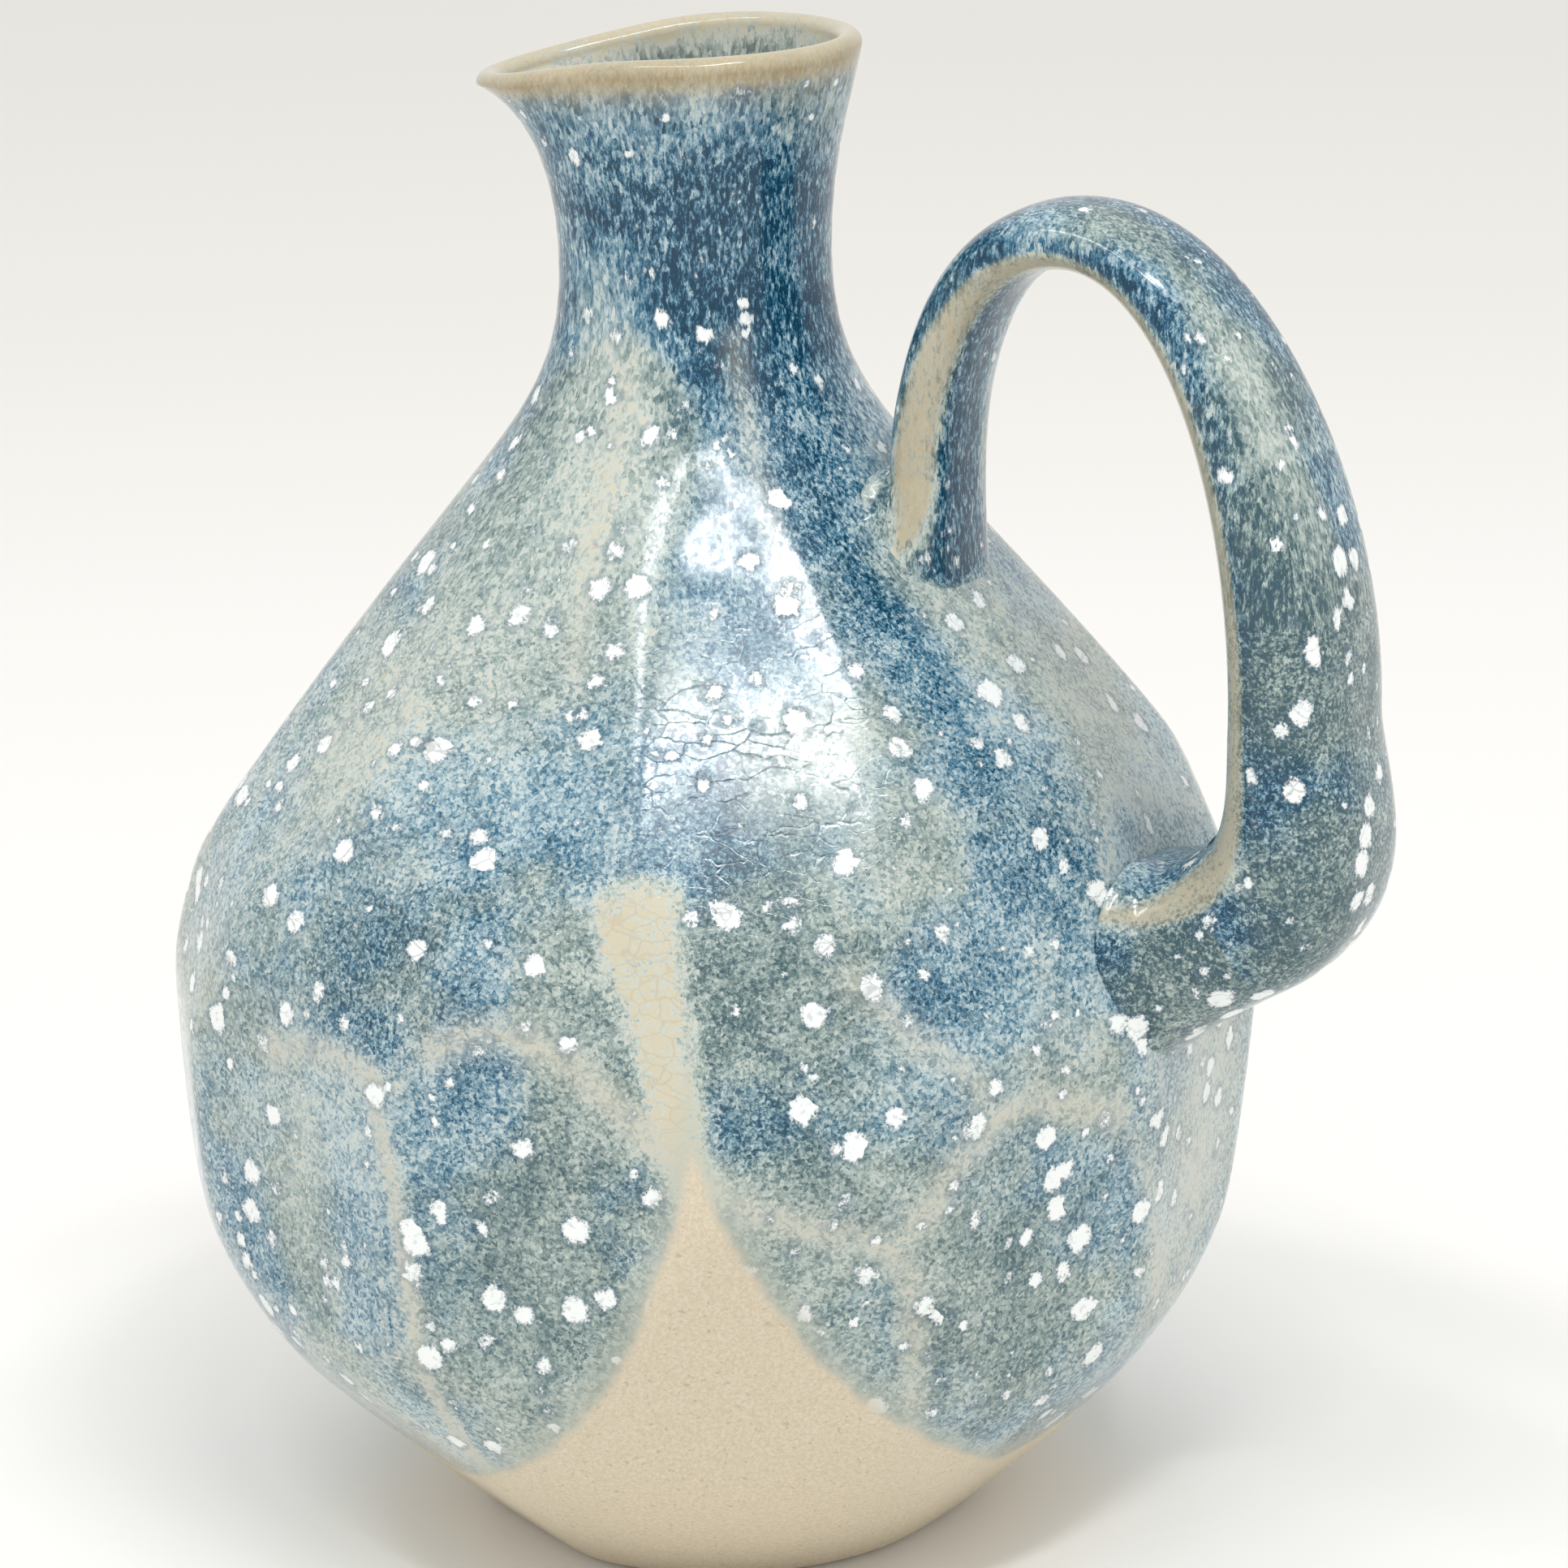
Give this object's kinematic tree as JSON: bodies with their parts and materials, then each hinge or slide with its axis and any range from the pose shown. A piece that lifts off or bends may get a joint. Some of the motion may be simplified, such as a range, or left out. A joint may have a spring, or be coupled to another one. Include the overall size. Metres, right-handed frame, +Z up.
{
  "type": "pouring jug",
  "caption": "Hand-faceted stoneware pouring jug with a round belly, narrow flared neck, pinched spout and pulled strap handle, under mottled blue glaze.",
  "frame": {"origin": "centre of the flat base, on the turning axis of the pot", "axes": "+Z up along the turning axis, +X towards the handle, the spout lies towards -X"},
  "size_m": [0.1512, 0.1264, 0.18],
  "materials": {
    "bare_stoneware": "unglazed satin buff stoneware",
    "blue_glaze": "gloss, mottled blue and grey-green with pale ridges and white spots"
  },
  "bodies": {
    "root": {"foot_slab": "bare_stoneware", "faceted_bowl": "blue_glaze", "shoulder_dome": "blue_glaze", "neck_collar": "blue_glaze", "pouring_lip": "blue_glaze", "handle_strap": "blue_glaze", "upper_root_coil": "blue_glaze", "lower_root_coil": "blue_glaze"}
  },
  "joints": []
}
